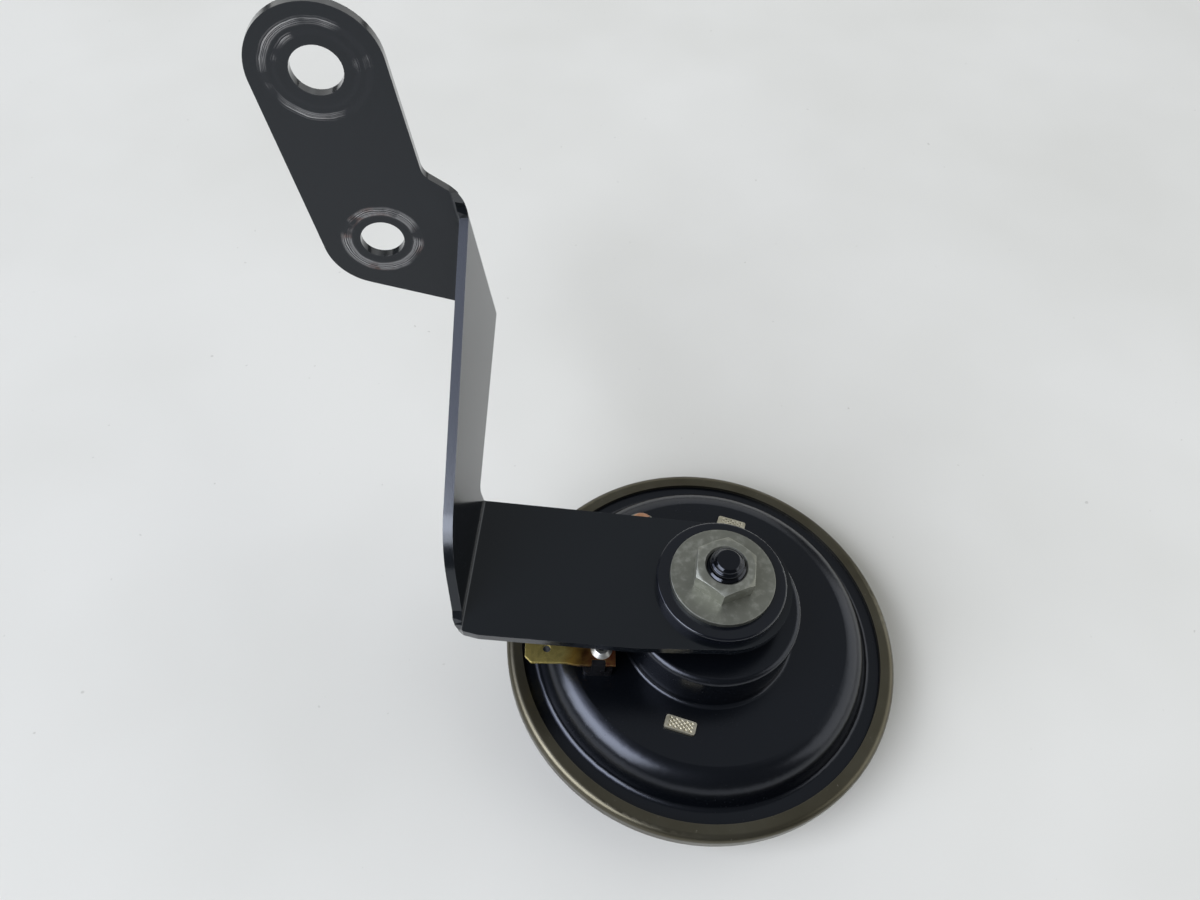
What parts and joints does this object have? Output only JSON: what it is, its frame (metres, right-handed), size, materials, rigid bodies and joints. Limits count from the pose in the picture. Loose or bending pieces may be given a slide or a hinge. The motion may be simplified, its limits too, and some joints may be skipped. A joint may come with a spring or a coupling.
{
  "type": "motorcycle disc horn",
  "caption": "Round electric disc horn with a vibrating diaphragm, contact breaker and coil, on a stud in a bent steel bracket that swings about it.",
  "frame": {"origin": "centre of the front cover's flat front face", "axes": "+Z along the horn's axis from front to back, -X from the mounting stud along the bracket's arm to its upright web"},
  "size_m": [0.1422, 0.1031, 0.1283],
  "materials": {
    "black_enamel": "gloss",
    "black_stove_paint": "satin",
    "black_disc_paint": "satin",
    "tarnished_plate": "satin",
    "zinc_plate": "satin",
    "bridge_zinc": "matte",
    "spring_steel": "satin",
    "soft_iron": "matte",
    "brass_tab": "satin",
    "phosphor_bronze": "satin",
    "coppery_brass": "satin",
    "rivet_tin": "satin",
    "contact_tungsten": "polished",
    "gasket_fibre": "matte",
    "phenolic_board": "satin",
    "red_fibre": "matte",
    "bakelite": "gloss",
    "enamelled_copper": "gloss",
    "lead_sleeve": "satin"
  },
  "bodies": {
    "horn": {"housing": "black_enamel", "rim_ring": "tarnished_plate", "front_cover": "black_enamel", "front_gasket": "gasket_fibre", "rear_gasket": "gasket_fibre", "pole_bridge": "bridge_zinc", "pole_core": "soft_iron", "coil_bobbin": "bakelite", "coil_winding": "enamelled_copper", "coil_leads": "lead_sleeve", "terminal_insulators": "bakelite", "terminal_boards": "phenolic_board", "spade_terminals": "brass_tab", "terminal_rivets": "rivet_tin", "inner_bushes": "bakelite", "contact_spacer": "brass_tab", "breaker_insulators": "phenolic_board", "breaker_clamp": "brass_tab", "adjuster_bush": "zinc_plate", "mounting_stud": "black_enamel", "core_nut": "zinc_plate", "lower_disc": "black_disc_paint", "upper_disc": "black_disc_paint", "plain_washer": "zinc_plate", "mounting_nut": "zinc_plate"},
    "sounder": {"armature": "soft_iron", "push_pad": "red_fibre", "diaphragm_washer": "zinc_plate", "diaphragm_nut": "zinc_plate", "tone_disc": "zinc_plate", "tone_disc_washer": "spring_steel", "tone_disc_nut": "zinc_plate", "diaphragm": "spring_steel"},
    "breaker": {"breaker_arm": "spring_steel", "moving_contact_point": "contact_tungsten", "breaker_spring": "phosphor_bronze"},
    "fixed_contact": {"fixed_contact_bar": "spring_steel", "fixed_contact_point": "contact_tungsten", "fixed_contact_spring": "phosphor_bronze"},
    "adjuster_lift": {"adjuster_tip": "red_fibre"},
    "adjuster": {"adjusting_screw": "coppery_brass"},
    "bracket_arm": {"bracket": "black_stove_paint"}
  },
  "joints": [
    {"name": "bracket_swivel", "type": "hinge", "parent": "horn", "child": "bracket_arm", "pos_m": [0, 0, 0.0389], "axis": [0, 0, 1], "continuous": true},
    {"name": "armature_stroke", "type": "slide", "parent": "horn", "child": "sounder", "axis": [0, 0, 1], "range_m": [0, 0.0006], "stiffness_N_per_m": 3000, "deforming": ["diaphragm"]},
    {"name": "breaker_lift", "type": "hinge", "parent": "horn", "child": "breaker", "pos_m": [-0.02298, 0.00493, 0.01505], "axis": [-0.2096, -0.9778, 0], "range_deg": [-0.2, 4.2], "deforming": ["breaker_spring"]},
    {"name": "adjuster_screw_lift", "type": "slide", "parent": "horn", "child": "adjuster_lift", "axis": [0, 0, 1], "range_m": [-0.0007, 0]},
    {"name": "adjuster_turn", "type": "hinge", "parent": "adjuster_lift", "child": "adjuster", "pos_m": [-0.0163, 0.0232, 0.022], "axis": [0, 0, 1], "range_deg": [-372, 6]},
    {"name": "fixed_contact_tilt", "type": "hinge", "parent": "horn", "child": "fixed_contact", "pos_m": [-0.02232, -0.00749, 0.01365], "axis": [-0.9778, 0.2096, 0], "range_deg": [-0.02, 1.34], "deforming": ["fixed_contact_spring"]}
  ],
  "couplings": [
    {"joint": "breaker_lift", "follows": "armature_stroke", "rad_per_m": 112},
    {"joint": "adjuster_turn", "follows": "adjuster_screw_lift", "rad_per_m": 8976},
    {"joint": "fixed_contact_tilt", "follows": "adjuster_screw_lift", "rad_per_m": -32.051}
  ]
}
